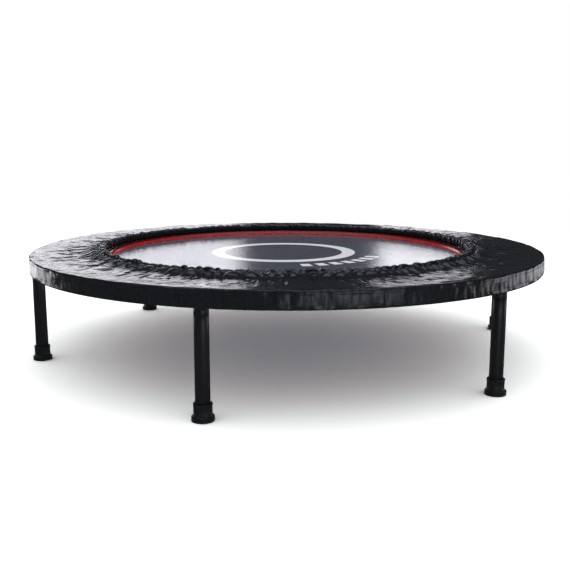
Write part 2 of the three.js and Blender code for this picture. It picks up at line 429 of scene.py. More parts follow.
def weave_mat(ring_inner, ring_outer, dash_inner, dash_outer):
    """Tight woven sheet with a sheen, a printed ring and a row of plain printed dashes."""
    n = Nodes("mat_weave")
    place = n.place()
    split = n.add("SeparateXYZ")
    n.put(place, split, 0)
    x = n.math("SUBTRACT", split.outputs[0], PRINT_CENTRE[0])
    y = n.math("SUBTRACT", split.outputs[1], PRINT_CENTRE[1])
    radius = n.math("SQRT", n.math("ADD", n.math("MULTIPLY", x, x), n.math("MULTIPLY", y, y)))
    angle = n.math("ARCTAN2", y, x)
    soft = 0.4 * MM
    ring = n.math(
        "MULTIPLY",
        n.between(radius, ring_inner - soft, ring_inner + soft, 0, 1),
        n.between(radius, ring_outer - soft, ring_outer + soft, 1, 0),
    )
    dash_band = n.math(
        "MULTIPLY",
        n.between(radius, dash_inner - soft, dash_inner + soft, 0, 1),
        n.between(radius, dash_outer - soft, dash_outer + soft, 1, 0),
    )
    start, step, share, count = math.radians(-95), math.radians(9), 0.62, 7
    along = n.math("DIVIDE", n.math("SUBTRACT", angle, start), step)
    dash = n.math("MULTIPLY", n.math("LESS_THAN", n.math("FRACT", along), share), dash_band)
    inside = n.math(
        "MULTIPLY", n.math("GREATER_THAN", along, 0.0), n.math("LESS_THAN", along, float(count))
    )
    upper_face = n.math("GREATER_THAN", split.outputs[2], (mat_low.z + mat_high.z) / 2)
    printed = n.math("MAXIMUM", ring, n.math("MULTIPLY", dash, inside))
    print_mask = n.math("MULTIPLY", printed, upper_face)
    threads = n.math(
        "MULTIPLY",
        n.math("SINE", n.math("MULTIPLY", x, TAU / (1.6 * MM))),
        n.math("SINE", n.math("MULTIPLY", y, TAU / (1.6 * MM))),
    )
    worn = n.noise(9, 4)
    ink = n.mix(worn, (0.86, 0.86, 0.91, 1), (0.79, 0.79, 0.84, 1))
    cloth = n.mix(n.noise(40, 3), grey(0.085, 0.20), grey(0.110, 0.20))
    return n.surface(
        color=n.mix(print_mask, cloth, ink),
        roughness=n.between(n.noise(24, 3), 0.3, 0.7, 0.17, 0.20),
        specular=n.between(print_mask, 0.0, 1.0, 0.55, 0.08),  # the ink is duller than the weave
        normal=n.bump(threads, 0.12, 0.12 * MM),
    )


def red_webbing():
    """Glossy coated red binding, with painted shade: its colour turns near black towards the top, where it
    goes under the cover's roll.
    """
    n = Nodes("red_binding")
    split = n.add("SeparateXYZ")
    n.put(n.place(), split, 0)
    z = split.outputs["Z"]
    unshaded_red = n.mix(n.noise(30, 3), (0.40, 0.008, 0.007, 1), (0.55, 0.014, 0.010, 1))
    # painted shade: above this height the red is darkened to near black, where the cover's roll shades it
    under = n.between(z, RING_Z + 5.0 * MM, RING_Z + 8.0 * MM, 0.0, 1.0)
    return n.surface(
        color=n.mix(under, unshaded_red, (0.030, 0.002, 0.002, 1)),
        roughness=n.between(n.noise(80, 3), 0.3, 0.7, 0.20, 0.30),
        normal=n.bump(n.noise(700, 2), 0.1, 0.15 * MM),
    )


def powder_coat():
    n = Nodes("powder_coat")
    peel = n.noise(420, 2)
    return n.surface(
        color=n.mix(n.noise(8, 3), grey(0.005, 0.25), grey(0.009, 0.25)),
        roughness=n.between(n.noise(30, 4), 0.3, 0.7, 0.26, 0.36),
        specular=0.7,
        normal=n.bump(peel, 0.25, 0.15 * MM),
    )


def black_rubber():
    n = Nodes("foot_rubber")
    return n.surface(
        color=n.mix(n.noise(50, 4), grey(0.006, 0.20), grey(0.012, 0.20)),
        roughness=n.between(n.noise(90, 4), 0.3, 0.7, 0.34, 0.50),
        normal=n.bump(n.noise(500, 3), 0.3, 0.2 * MM),
    )


def zinc_steel():
    n = Nodes("zinc_steel")
    return n.surface(
        color=n.mix(n.noise(60, 4), (0.40, 0.41, 0.43, 1), (0.55, 0.56, 0.58, 1)),
        metallic=0.75,
        roughness=n.between(n.noise(120, 4), 0.3, 0.7, 0.32, 0.48),
        normal=n.bump(n.noise(900, 2), 0.1, 0.1 * MM),
    )


def sewing_thread(name, color):
    n = Nodes(name)
    return n.surface(color=color, roughness=0.6, normal=n.bump(n.noise(2500, 1), 0.3, 0.1 * MM))


def braided_elastic():
    n = Nodes("elastic_braid")
    return n.surface(
        color=n.mix(n.noise(300, 2), grey(0.02), grey(0.05)),
        roughness=0.85,
        normal=n.bump(n.noise(900, 2), 0.5, 0.3 * MM),
    )


VINYL = cover_vinyl()
RED = red_webbing()
POWDER = powder_coat()
RUBBER = black_rubber()
ZINC = zinc_steel()
BLACK_THREAD = sewing_thread("black_thread", grey(0.014))
RED_THREAD = sewing_thread("red_thread", (0.35, 0.01, 0.01, 1))
BRAID = braided_elastic()

# ------------------------------------------------------------------ cover

COLUMNS = 1440  # round the cover
PUFFS = 140  # gathers round the opening
SEAM_ANGLE = math.radians(-104.5)  # where the cover's strip is joined
FABRIC = 1.1 * MM
RISE_R = 415 * MM  # where the cover starts to climb towards its gathered hem
ROLL_ARC = (50, 285)  # where the gathered roll starts and ends, in degrees from straight out


def cover_profile():
    """(radius, height) from the skirt's turned-up hem, over the top, and round the gathered roll."""
    corner = 3.2 * MM
    fold_r = 1.1 * MM
    inner = COVER_R - 2 * fold_r
    hem = np.array([[inner, SKIRT_Z + 9 * MM], [inner, SKIRT_Z + 1.2 * MM]])
    fold = arc(COVER_R - fold_r, SKIRT_Z + fold_r, fold_r, 180, 360, 5)
    skirt = [[COVER_R, SKIRT_Z + 2 * MM], [COVER_R, COVER_Z - corner]]
    bend = arc(COVER_R - corner, COVER_Z - corner, corner, 0, 90, 6)
    roll = arc(ROLL_X, ROLL_Z, ROLL_R, *ROLL_ARC, 28)
    flat = np.linspace(bend[-1], [RISE_R, COVER_Z], 12)
    share = np.linspace(0, 1, 24)[1:]
    climb = np.stack([
        RISE_R + (roll[0, 0] - RISE_R) * share,
        COVER_Z + (roll[0, 1] - COVER_Z) * share**1.3,
    ], -1)
    return (
        resampled(hem, 5)[:-1],
        fold,
        resampled(skirt, 15)[1:-1],
        bend,
        resampled(np.vstack([flat, climb]), 68)[1:-1],
        roll,
    )


def simulated_swell(columns, rows, outer, inner):
    """Lets a coarse copy of the cover's top grow as cloth between its pinned edges.

    Returns its rise and fall as rows by columns, from the outer edge to the inner one.
    """
    radius = np.linspace(outer, inner, rows)
    profile = np.stack([radius, np.full(rows, COVER_Z)], -1)
    points = turned(profile, columns)
    u = np.arange(columns)[None, :] / columns
    v = np.linspace(0, 1, rows)[:, None]
    free = ramp(v, 0, 0.15) * ramp(1 - v, 0, 0.1)
    points[..., 2] += free * (noise(u + 0 * v, v + 0 * u, 120, 8, 5) * 1.2 * MM)
    piece = bpy.data.objects.new("swell", grid_mesh("swell", points))
    bpy.context.scene.collection.objects.link(piece)
    pins = piece.vertex_groups.new(name="pins")
    pins.add(list(range(columns)), 1.0, "REPLACE")
    pins.add([(rows - 1) * columns + i for i in range(columns)], 1.0, "REPLACE")
    growth = piece.vertex_groups.new(name="growth")
    for row in range(rows):
        weight = float(1 - v[row, 0] ** 1.5)
        growth.add([row * columns + i for i in range(columns)], weight, "REPLACE")
    cloth = piece.modifiers.new("cloth", "CLOTH")
    settings = cloth.settings
    settings.quality = 5
    settings.mass = 0.12
    settings.tension_stiffness = 12
    settings.compression_stiffness = 12
    settings.shear_stiffness = 4
    settings.bending_stiffness = 0.08
    settings.air_damping = 3
    settings.vertex_group_mass = "pins"
    settings.vertex_group_shrink = "growth"
    settings.shrink_min = -0.11
    settings.shrink_max = -0.03
    settings.effector_weights.gravity = 0
    cloth.collision_settings.use_self_collision = False
    scene = bpy.context.scene
    for step in range(1, SETTLE_STEPS + 1):
        scene.frame_set(step)
    settled = piece.evaluated_get(bpy.context.evaluated_depsgraph_get()).to_mesh()
    moved = np.zeros(rows * columns * 3)
    settled.vertices.foreach_get("co", moved)
    bpy.data.objects.remove(piece)
    scene.frame_set(1)
    return moved.reshape(rows, columns, 3)[..., 2] - COVER_Z


def sampled(table, u, v):
    """Values of a rows-by-columns table at u, v from 0 to 1; u wraps."""
    rows, columns = table.shape
    x = (u % 1.0) * columns
    y = np.clip(v, 0, 1) * (rows - 1.001)
    column, row = np.floor(x).astype(int), np.floor(y).astype(int)
    fx, fy = x - column, y - row
    left, right = column % columns, (column + 1) % columns
    low = table[row, left] * (1 - fx) + table[row, right] * fx
    high = table[row + 1, left] * (1 - fx) + table[row + 1, right] * fx
    return low * (1 - fy) + high * fy


def normals_of(points):
    """Unit outward normals of points[row, column]."""
    along = np.gradient(points, axis=0)
    across = np.roll(points, -1, 1) - np.roll(points, 1, 1)
    normal = np.cross(across, along)
    return normal / np.linalg.norm(normal, axis=-1)[..., None]


TOP_INNER_R = ROLL_X + 0.64 * ROLL_R  # where the top meets the roll
SEWN_R = ROLL_X + 8.5 * MM  # the sewn line that holds the gathers
SWELL_GRID = (480, 26)  # points of the simulated cloth, round the cover and across it
SETTLE_STEPS = 18  # frames in which the simulated cloth settles
SWELL = 0.38 * MM  # the most that a simulated swell may rise or fall
SWELL_SOFT = 1.6 * MM  # the simulated rise at which that limit starts to tell
ROW_TWO = (381 * MM, 398 * MM)  # the second row of puffs lies between these radii
PINCHES = uneven(PUFFS, 51, 0.40)
PINCHES_TWO = (uneven(PUFFS, 52, 0.40) + 0.5 / PUFFS) % 1.0


def roll_push(u, turn_round):
    """Puffs of the gathered roll, pinched between gathers and slanting a little like a rope.

    The roll droops on its inner, lower side, towards the mat's binding, and hangs down behind it.
    """
    puff_height, pinch_depth, droop_height, hang_height = 4.6 * MM, 2.6 * MM, 2.2 * MM, 4.2 * MM
    slant = 0.35 / PUFFS
    puff = puffed(u + turn_round * slant, PINCHES, 53)
    droop = np.exp(-(((turn_round - 0.80) / 0.15) ** 2))
    hang = ramp(turn_round, 0.80, 1.0)
    dents = noise(u, turn_round, 230, 4, 54) * 0.3 * MM
    puffy = (puff * puff_height - pinch_depth + dents) * (1 - 0.65 * droop) * (1 - 0.8 * hang)
    return puffy + droop_height * droop + hang_height * hang


def top_push(u, radius, inward, swell):
    """Rise and fall of the cover's top."""
    warped = inward + noise(u, inward, 60, 3, 23) * 0.07
    facets = noise(u, warped, 110, 7, 21) * 0.20 + noise(u, warped, 230, 12, 22) * 0.06
    dashes = np.zeros_like(u)
    for seed in (31, 32, 33):
        dashes += creases(
            u, radius, uneven(60, seed, 0.5), start=(388 * MM, 432 * MM), length=(18 * MM, 44 * MM),
            depth=(0.7, 1.7), width=2.7 * MM, lean=0.35, seed=seed,
        )
    for seed in (34, 35, 36):
        dashes += creases(
            u, radius, uneven(120, seed, 0.5), start=(400 * MM, 488 * MM), length=(9 * MM, 24 * MM),
            depth=(0.3, 0.9), width=2.2 * MM, lean=0.45, seed=seed,
        )
    folds = creases(
        u, radius, PINCHES_TWO, start=(390 * MM, 392 * MM), length=(12 * MM, 42 * MM),
        depth=(1.6, 3.2), width=4.6 * MM, lean=0.25, seed=38, open_start=True,
    )
    across = np.clip((radius - ROW_TWO[0]) / (ROW_TWO[1] - ROW_TWO[0]), 0, 1)
    present = 0.7 + 0.3 * noise(u, 0 * u, 40, 1, 40)
    row_two = puffed(u, PINCHES_TWO, 39) * np.sin(math.pi * across) ** 0.7 * 4.0 * present
    over_tube = 1 - ramp(inward, 0.16, 0.30)
    creased = facets - dashes * (1 - 0.5 * over_tube) - folds + row_two
    return swell * (1 - 0.7 * over_tube) + creased * MM


def skirt_push(u, up):
    """Upright creases, stronger to one side of the joining seam, and smears on the other."""
    turn = (u * TAU - SEAM_ANGLE + math.pi) % TAU - math.pi
    upright = ramp(turn, -0.004, 0.004)
    warped = up + noise(u, up, 45, 1, 46) * 0.35
    lean = noise(u, warped, 110, 2, 45) * 0.002
    leaning = u + lean * up
    pleat = noise(leaning, warped, 250, 1, 41) * 0.5 + noise(leaning, warped, 500, 1, 42) * 0.8
    pleat += noise(leaning, warped, 720, 1, 47) * 0.3
    smear = noise(u, warped, 110, 1, 43) * 1.2 + noise(u, warped, 260, 2, 44) * 0.45
    seam = np.exp(-((turn * COVER_R / (1.2 * MM)) ** 2))
    return (pleat * (0.30 + 0.70 * upright) + smear * (1.0 - 0.7 * upright) - seam * 0.8) * MM


def cover_points():
    """The cover's surface as points[row, column], and the rows where its sections start."""
    sections = cover_profile()
    starts = np.cumsum([0] + [len(s) for s in sections])
    profile = np.vstack(sections)
    skirt, bend, top, roll = starts[2], starts[3], starts[4], starts[5]
    points = turned(profile, COLUMNS)
    normal = normals_of(points)
    rows = len(profile)
    row = np.arange(rows)[:, None] + 0 * np.arange(COLUMNS)[None, :]
    u = np.arange(COLUMNS)[None, :] / COLUMNS + 0 * row
    radius = profile[:, :1] + 0 * u
    height = profile[:, 1:] + 0 * u
    inward = (COVER_R - radius) / (COVER_R - TOP_INNER_R)
    on_top = ramp(row, bend + 1, top + 4) * (1 - ramp(row, roll - 2, roll))
    on_skirt = ramp(row, skirt - 2, skirt + 2) * (1 - ramp(row, bend, bend + 4))
    on_bend = ramp(row, bend - 4, bend + 1) * (1 - ramp(row, top, top + 5))

    # broad swells: the simulated cloth
    table = simulated_swell(*SWELL_GRID, COVER_R, ROLL_X + ROLL_R)
    swell = np.tanh(sampled(table, u, inward) / SWELL_SOFT) * SWELL

    push = on_top * top_push(u, radius, inward, swell)
    push += on_skirt * skirt_push(u, (height - SKIRT_Z) / (COVER_Z - SKIRT_Z))
    push += ramp(row, roll - 1, roll + 2) * roll_push(u, np.clip((row - roll) / (rows - roll), 0, 1))
    push += on_bend * noise(u, 0 * u, 150, 1, 55) * 0.7 * MM

    # the sewn line between the two rows of puffs
    line = np.exp(-(((radius - SEWN_R) / (1.8 * MM)) ** 2)) * ramp(row, top, top + 4)
    push -= line * (1 - ramp(row, roll, roll + 4)) * 1.8 * MM

    # the groove of the corner seam, just below the bend
    push -= np.exp(-(((row - bend + 1) / 1.2) ** 2)) * 0.22 * MM
    return points + push[..., None] * normal, starts


cover_grid, cover_starts = cover_points()
cover = grid_piece("cover_shell", cover_grid, VINYL, "cover_vinyl")
thickness = cover.modifiers.new("fabric", "SOLIDIFY")
thickness.thickness = FABRIC
thickness.offset = -1
replace(cover, "frame_cover")


def stitches(name, path, normal, pitch, length, radius, material, body):
    """A row of short threads lying on a surface, along a closed path."""
    step = np.linalg.norm(np.roll(path, -1, 0) - path, axis=1)
    count = int(step.sum() / pitch)
    both = resampled(np.hstack([path, normal]), count, closed=True)
    centre, out = both[:, :3], both[:, 3:]
    out /= np.linalg.norm(out, axis=1)[:, None]
    along = np.roll(centre, -1, 0) - np.roll(centre, 1, 0)
    along /= np.linalg.norm(along, axis=1)[:, None]
    across = np.cross(out, along)
    sides = 6
    ring = np.arange(sides) * TAU / sides
    # each ring's place along the thread, its radius and its height, as shares of length and radius
    rings = ((-0.5, 0.35, -0.4), (-0.3, 0.95, 0.25), (0.3, 0.95, 0.25), (0.5, 0.35, -0.4))
    shape = np.array(
        [
            [[s * length, r * radius * math.cos(a), radius * (h + r * math.sin(a))] for a in ring]
            for s, r, h in rings
        ]
    ).reshape(-1, 3)
    basis = np.stack([along, across, out], 1)
    vertices = centre[:, None] + np.einsum("ki,nij->nkj", shape, basis)
    faces = []
    per = len(shape)
    template = grid_faces(len(rings), sides)
    template += [list(range(sides))[::-1], [(len(rings) - 1) * sides + i for i in range(sides)]]
    for i in range(count):
        faces += [[i * per + k for k in face] for face in template]
    piece = add_object(name, mesh_of(name, vertices, faces), material)
    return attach(piece, body)


cover_normal = normals_of(cover_grid)
for name, row in (
    ("cover_corner_stitches", cover_starts[3] - 2),
    ("cover_skirt_stitches", cover_starts[2] + 2),
    ("cover_gather_stitches", cover_starts[5] - 3),
):
    stitches(name, cover_grid[row], cover_normal[row], pitch=4.2 * MM, length=3.0 * MM, radius=0.35 * MM,
             material=BLACK_THREAD, body="frame")

# the elastic cord inside the hem
CORD_STEPS = 720
cord_turn = np.arange(CORD_STEPS) * TAU / CORD_STEPS
cord_radius = ELASTIC_R * (0.93 + 0.07 * np.cos(CORD_STEPS / 2 * cord_turn))
cord_bar = swept(circle(ROLL_X, ROLL_Z, CORD_STEPS), cord_radius, 12, closed=True)
elastic = grid_piece("elastic_cord", cord_bar, BRAID, "elastic", wrap_rows=True)
replace(elastic, "cover_elastic")

# ------------------------------------------------------------------ mat, binding and hoop

WEAVE = weave_mat(ring_inner=122 * MM, ring_outer=149 * MM, dash_inner=178 * MM, dash_outer=206 * MM)


def mat_sheet():
    """The woven disc: a polar grid with a rounded cut edge."""
    thick = mat_high.z - mat_low.z
    top = [[r * MAT_R, MAT_Z] for r in np.linspace(0.02, 0.998, 40)]
    under = [[r * MAT_R, MAT_Z - thick] for r in np.linspace(0.998, 0.02, 40)]
    edge = [[MAT_R, MAT_Z - 0.3 * thick], [MAT_R, MAT_Z - 0.7 * thick]]
    profile = np.array(top + edge + under)[::-1]
    return grid_mesh("mat_sheet", turned(profile, 240), caps=True)


mat_sheet_piece = add_object("mat_sheet", mat_sheet(), WEAVE)
replace(mat_sheet_piece, "jumping_mat")

NOTCH_HALF = 5 * MM
NOTCH_INNER = 354.6 * MM
NOTCH_TOP = RING_Z + 6.8 * MM


def binding_sheet():
    """The bound edge: a strip folded round the hoop, with a notch under each spring."""
    columns = SPRINGS * 28
    lip = 346 * MM
    upper = MAT_Z + 1.2 * MM
    lower = mat_low.z - 1.2 * MM
    profile = np.vstack([
        resampled(np.vstack([[[lip, lower]], arc(HOOP_R, RING_Z, BINDING_R, 192, 195, 1)]), 5)[:-1],
        arc(HOOP_R, RING_Z, BINDING_R, 195, 525, 64),
        resampled(np.vstack([arc(HOOP_R, RING_Z, BINDING_R, 165, 164, 1), [[lip, upper]]]), 6)[1:],
    ])
    points = turned(profile, columns)
    normal = normals_of(points)
    u = np.arange(columns)[None, :] / columns + 0 * profile[:, :1]
    v = np.linspace(0, 1, len(profile))[:, None] + 0 * u
    ripple = noise(u, v, 240, 6, 61) * 0.25 + noise(u, v, 90, 3, 62) * 0.25
    points = points + (ripple * MM)[..., None] * normal

    # a little puckering where the strip is sewn down beside the mat
    radius = np.hypot(points[..., 0], points[..., 1])
    near_lip = np.exp(-(((radius - lip - 3 * MM) / (2 * MM)) ** 2))
    points[..., 2] -= near_lip * np.sign(points[..., 2] - MAT_Z) * 0.15 * MM

    # leave out the faces in the notches
    spring_turn = TAU / SPRINGS
    turn = (u[0] * TAU) % spring_turn - spring_turn / 2
    in_width = np.abs(turn) * HOOP_R < NOTCH_HALF
    base = turned(profile, 1)[:, 0]
    cut_row = (base[:, 0] > NOTCH_INNER) & (base[:, 2] < NOTCH_TOP)
    quads = grid_faces(len(profile), columns)
    kept = [
        quad
        for i, quad in enumerate(quads)
        if not (cut_row[i // columns] and in_width[i % columns])
    ]
    mesh = mesh_of("mat_binding_roll", points, kept)
    cleaned = bmesh.new()
    cleaned.from_mesh(mesh)
    bmesh.ops.delete(cleaned, geom=[v for v in cleaned.verts if not v.link_faces], context="VERTS")
    cleaned.to_mesh(mesh)
    cleaned.free()
    return mesh, points


binding_mesh, binding_grid = binding_sheet()
binding = add_object("mat_binding_roll", binding_mesh, RED)
strip = binding.modifiers.new("strip", "SOLIDIFY")
strip.thickness = 0.8 * MM
strip.offset = -1
replace(binding, "mat_binding")

binding_normal = normals_of(binding_grid)
for name, row in (("binding_stitches_top", -3), ("binding_stitches_under", 2)):
    stitches(name, binding_grid[row], binding_normal[row], pitch=3.6 * MM, length=2.6 * MM,
             radius=0.35 * MM, material=RED_THREAD, body="mat")

hoop_bar = swept(circle(HOOP_R, RING_Z, 360), ROD_R, 14, closed=True)
hoop = grid_piece("hoop_rod", hoop_bar, ZINC, "zinc_steel", wrap_rows=True)
replace(hoop, "mat_hoop")

# ------------------------------------------------------------------ springs

WIRE_R = 1.25 * MM
COIL_R = 4.0 * MM
HOOK_R = 4.5 * MM
COIL_START = 376 * MM
COIL_END = 467 * MM
HOLE_X = RING_R - TUBE_R  # the tube's inner side, where the hook goes in
HOLE_R = 3.5 * MM
WIRE_PITCH = 2.62 * MM
WIRE_STEPS = 14  # points in one turn of the coil


def spring_path():
    """One continuous wire along +X: hook round the hoop, close coils, hook through the tube."""
    turns = (COIL_END - COIL_START) / WIRE_PITCH
    t = np.linspace(0, 1, int(turns * WIRE_STEPS))
    angle = t * turns * TAU
    coil = np.stack(
        [COIL_START + t * (COIL_END - COIL_START), -COIL_R * np.sin(angle), COIL_R * np.cos(angle)], -1
    )
    bend_x = HOOP_R + 0.4 * MM
    bend = [
        [bend_x + HOOK_R * math.cos(math.radians(a)), 0, HOOK_R * math.sin(math.radians(a))]
        for a in range(270, 89, -20)
    ]
    inner = [[bend_x + 3.5 * MM, 0, -HOOK_R]] + bend + [
        [COIL_START - 5 * MM, 0.2 * MM, 4.3 * MM],
        [COIL_START - 1.2 * MM, 0.5 * MM, 4.1 * MM],
    ]
    last = coil[-1]
    tip = RING_R - 5 * MM
    outer = [
        [last[0] + 1.5 * MM, last[1] * 0.7, last[2] * 0.7],
        [last[0] + 3.5 * MM, last[1] * 0.2, last[2] * 0.2],
        [last[0] + 6 * MM, 0, 0],
        [tip - 5 * MM, 0, 0],
        [tip - 1 * MM, 0, -1 * MM],
        [tip, 0, -5.5 * MM],
    ]
    path = np.vstack([spline(inner, 5)[:-1], coil, spline(outer, 5)])
    path[:, 2] += RING_Z
    return path


spring_bar = swept(spring_path(), WIRE_R, 8)
for i in range(SPRINGS):
    angle = (i + 0.5) * TAU / SPRINGS
    number = f"{i + 1:02d}"
    points = at_angle(spring_bar, angle)
    spring = grid_piece(f"coil_spring_{number}", points, ZINC, "zinc_steel", caps=True)
    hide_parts(f"spring_{number}")
    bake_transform(spring)

# ------------------------------------------------------------------ frame tube and sockets


def frame_tube():
    """The tube ring, with a round hole for each spring hook."""
    bar = swept(circle(RING_R, RING_Z, 300), TUBE_R, 28, closed=True)
    tube = bpy.data.objects.new("tube", grid_mesh("tube", bar, wrap_rows=True))
    vertices, faces = [], []
    sides = 16
    drill_path = [[HOLE_X + along * MM, 0, RING_Z] for along in (-4, 0, 5)]
    for i in range(SPRINGS):
        drill = at_angle(swept(drill_path, HOLE_R, sides), (i + 0.5) * TAU / SPRINGS)
        offset = len(vertices)
        vertices += drill.reshape(-1, 3).tolist()
        faces += grid_faces(3, sides, offset=offset)
        faces += [[offset + k for k in range(sides)][::-1], [offset + 2 * sides + k for k in range(sides)]]
    drills = bpy.data.objects.new("drills", mesh_of("drills", vertices, faces))
    for helper in (tube, drills):
        bpy.context.scene.collection.objects.link(helper)
    cut = tube.modifiers.new("cut", "BOOLEAN")
    cut.operation = "DIFFERENCE"
    cut.object = drills
    cut.solver = "EXACT"
    bpy.context.view_layer.update()
    done = bpy.data.meshes.new_from_object(tube.evaluated_get(bpy.context.evaluated_depsgraph_get()))
    for helper in (tube, drills):
        bpy.data.objects.remove(helper)
    return done


replace(add_object("frame_tube", frame_tube(), POWDER), "frame_ring")


def saddle(radius, angle):
    """Height at which a post of this radius meets the underside of the tube."""
    return RING_Z - np.sqrt(np.maximum(TUBE_R**2 - (radius * np.cos(angle)) ** 2, 0))


def socket_points():
    """A bored boss whose top is cut to sit against the tube."""
    sides = 48
    angle = np.arange(sides) * TAU / sides
    bore = 6.3 * MM
    bottom = socket_low.z
    edge = 0.7 * MM
    rows = [
        (bore, saddle(bore, angle)),
        (bore, bottom + edge + 0 * angle),
        (bore + edge, bottom + 0 * angle),
        (LEG_R - edge, bottom + 0 * angle),
        (LEG_R - 0.2 * edge, bottom + 0.25 * edge + 0 * angle),
        (LEG_R, bottom + edge + 0 * angle),
        (LEG_R, bottom + 6 * MM + 0 * angle),
        (LEG_R, saddle(LEG_R, angle)),
    ]
    return np.stack(
        [np.stack([LEG_X + r * np.cos(angle), r * np.sin(angle), z], -1) for r, z in rows]
    )


def weld_bead(shift):
    """A lumpy bead round the joint of boss and tube."""
    turn = np.arange(120) * TAU / 120
    path = np.stack(
        [LEG_X + LEG_R * np.cos(turn), LEG_R * np.sin(turn), saddle(LEG_R, turn) - 0.4 * MM], -1
    )
    beads = 0.5 + 0.5 * np.abs(np.sin(turn * 15 + shift))
    return swept(path, (1.1 + 0.6 * beads) * MM, 8, closed=True)


# ------------------------------------------------------------------ legs

THREAD_R = 5.9 * MM
THREAD_PITCH = 1.75 * MM
THREAD_DEPTH = 0.9 * MM
LEG_SIDES = 64


def stud_points():
    """A plug, then a right-hand thread up to a tapered tip."""
    sides = 24
    angle = np.arange(sides) * TAU / sides
    plug = LEG_R - 1.6 * MM
    plug_low, plug_top, tip = stud_low.z, stud_low.z + 10 * MM, stud_high.z
    taper_height, taper_depth = 1.6 * MM, 1.2 * MM
    rows = [(plug - 1 * MM, plug_low + 0 * angle), (plug, plug_low + 1 * MM + 0 * angle),
            (plug, plug_top - 0.4 * MM + 0 * angle), (plug - 0.4 * MM, plug_top + 0 * angle)]
    height = np.arange(plug_top + 0.2 * MM, tip, THREAD_PITCH / 8)
    for z in height:
        phase = ((z - plug_top) / THREAD_PITCH - angle / TAU) % 1.0
        depth = THREAD_DEPTH * np.abs(2 * phase - 1)
        taper = np.clip((z - (tip - taper_height)) / taper_height, 0, 1) * taper_depth
        rows.append((THREAD_R - np.maximum(depth, taper), z + 0 * angle))
    rows.append((THREAD_R - 1.6 * MM + 0 * angle, tip + 0 * angle))
    return np.stack(
        [np.stack([LEG_X + r * np.cos(angle), r * np.sin(angle), z], -1) for r, z in rows]
    )


def tube_profile():
    """A thin tube with softened ends."""
    bore = LEG_R - 1.3 * MM
    edge = 0.5 * MM
    low, high = leg_low.z, leg_high.z
    return [
        [LEG_R - edge, low], [LEG_R, low + edge], [LEG_R, low + 30 * MM], [LEG_R, high - 30 * MM],
        [LEG_R, high - edge], [LEG_R - 0.3 * edge, high - 0.3 * edge], [LEG_R - edge, high],
        [bore, high], [bore, low],
    ]


def foot_profile():
    """A moulded ferrule: ribbed sole, grooved flange and a collar with a rolled lip."""
    collar = 14.6 * MM
    flange = 8.4 * MM
    fit = LEG_R + 0.3 * MM
    sole = [[0.3 * MM, 0.6 * MM], [4 * MM, 0.6 * MM], [4.6 * MM, 0], [8 * MM, 0], [8.6 * MM, 0.9 * MM],
            [10 * MM, 0.9 * MM], [10.6 * MM, 0], [FOOT_R - 1.6 * MM, 0]]
    side = [
        *arc(FOOT_R - 1.6 * MM, 1.6 * MM, 1.6 * MM, -70, 0, 4),
        [FOOT_R, 3.6 * MM], [FOOT_R - 0.9 * MM, 4.0 * MM], [FOOT_R - 0.9 * MM, 4.8 * MM],
        [FOOT_R, 5.2 * MM],
        *arc(FOOT_R - 1.2 * MM, flange - 1.2 * MM, 1.2 * MM, 0, 90, 5),
        [collar + 1.0 * MM, flange + 0.2 * MM], [collar, flange + 1.2 * MM],
        [collar, FOOT_Z - 3.2 * MM], [collar + 0.6 * MM, FOOT_Z - 2.4 * MM],
        *arc(collar - 0.3 * MM, FOOT_Z - 1.0 * MM, 1.0 * MM, 0, 100, 5),
        [fit + 0.3 * MM, FOOT_Z - 0.6 * MM], [fit, FOOT_Z - 1.2 * MM],
    ]
    well = [[fit, 8 * MM], [0.3 * MM, 8 * MM]]
    return sole + side + well


for k in range(LEGS):
    angle = k * TAU / LEGS
    leg = f"leg_{k + 1}"
    centre = (LEG_X * math.cos(angle), LEG_X * math.sin(angle))
    points = at_angle(socket_points(), angle)
    boss = grid_piece(f"{leg}_boss", points, POWDER, "powder_coat", wrap_rows=True)
    replace(boss, f"{leg}_socket")
    points = at_angle(weld_bead(k), angle)
    bead = grid_piece(f"{leg}_weld", points, POWDER, "powder_coat", wrap_rows=True)
    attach(bead, "frame")
    points = at_angle(stud_points(), angle)
    screw = grid_piece(f"{leg}_screw", points, ZINC, "zinc_steel", caps=True)
    replace(screw, f"{leg}_stud")
    points = turned(tube_profile(), LEG_SIDES, centre)
    post = grid_piece(f"{leg}_post", points, POWDER, "powder_coat", wrap_rows=True)
    replace(post, f"{leg}_tube")
    points = turned(foot_profile(), LEG_SIDES, centre)
    ferrule = grid_piece(f"{leg}_ferrule", points, RUBBER, "foot_rubber", caps=True)
    replace(ferrule, f"{leg}_foot")

# ------------------------------------------------------------------ floor, light and camera


SKY_LOW, SKY_HIGH = 0.57, 0.92  # soft light from the sides and from overhead
SHINE_LOW, SHINE_HIGH = 0.036, 1.0  # the same in reflections


def floor():
    """A pale sheet that fades to white with distance and stays dim in reflections."""
    half = 12.0
    mesh = mesh_of("floor", [[-half, -half, 0], [half, -half, 0], [half, half, 0], [-half, half, 0]],
                   [[0, 1, 2, 3]])
    n = Nodes("floor")
    n.tree.nodes.remove(n.shader)
    sheet = n.add("BsdfDiffuse", Color=(0.945, 0.974, 0.968, 1))
    paper = n.add("AddShader")  # twice the sheet, because the object's light is half the floor's
    n.put(sheet, paper, 0)
    n.put(sheet, paper, 1)
    away = n.add("VectorMath", operation="LENGTH")
    n.put(n.place(), away, 0)
    far = n.between(away.outputs["Value"], 1.2, 2.6, 0, 1)
    white = n.add("Emission", Strength=1.0)
    dim = n.add("Emission", Strength=0.05)
    faded = n.add("MixShader")
    n.put(far, faded, 0)
    n.put(paper, faded, 1)
    n.put(white, faded, 2)
    seen = n.add("MixShader")
    n.put(n.add("LightPath").outputs["Is Glossy Ray"], seen, 0)
    n.put(faded, seen, 1)
    n.put(dim, seen, 2)
    n.put(seen, n.tree.nodes["Material Output"], "Surface")
    plane = add_object("floor", mesh, n.material)
    return plane


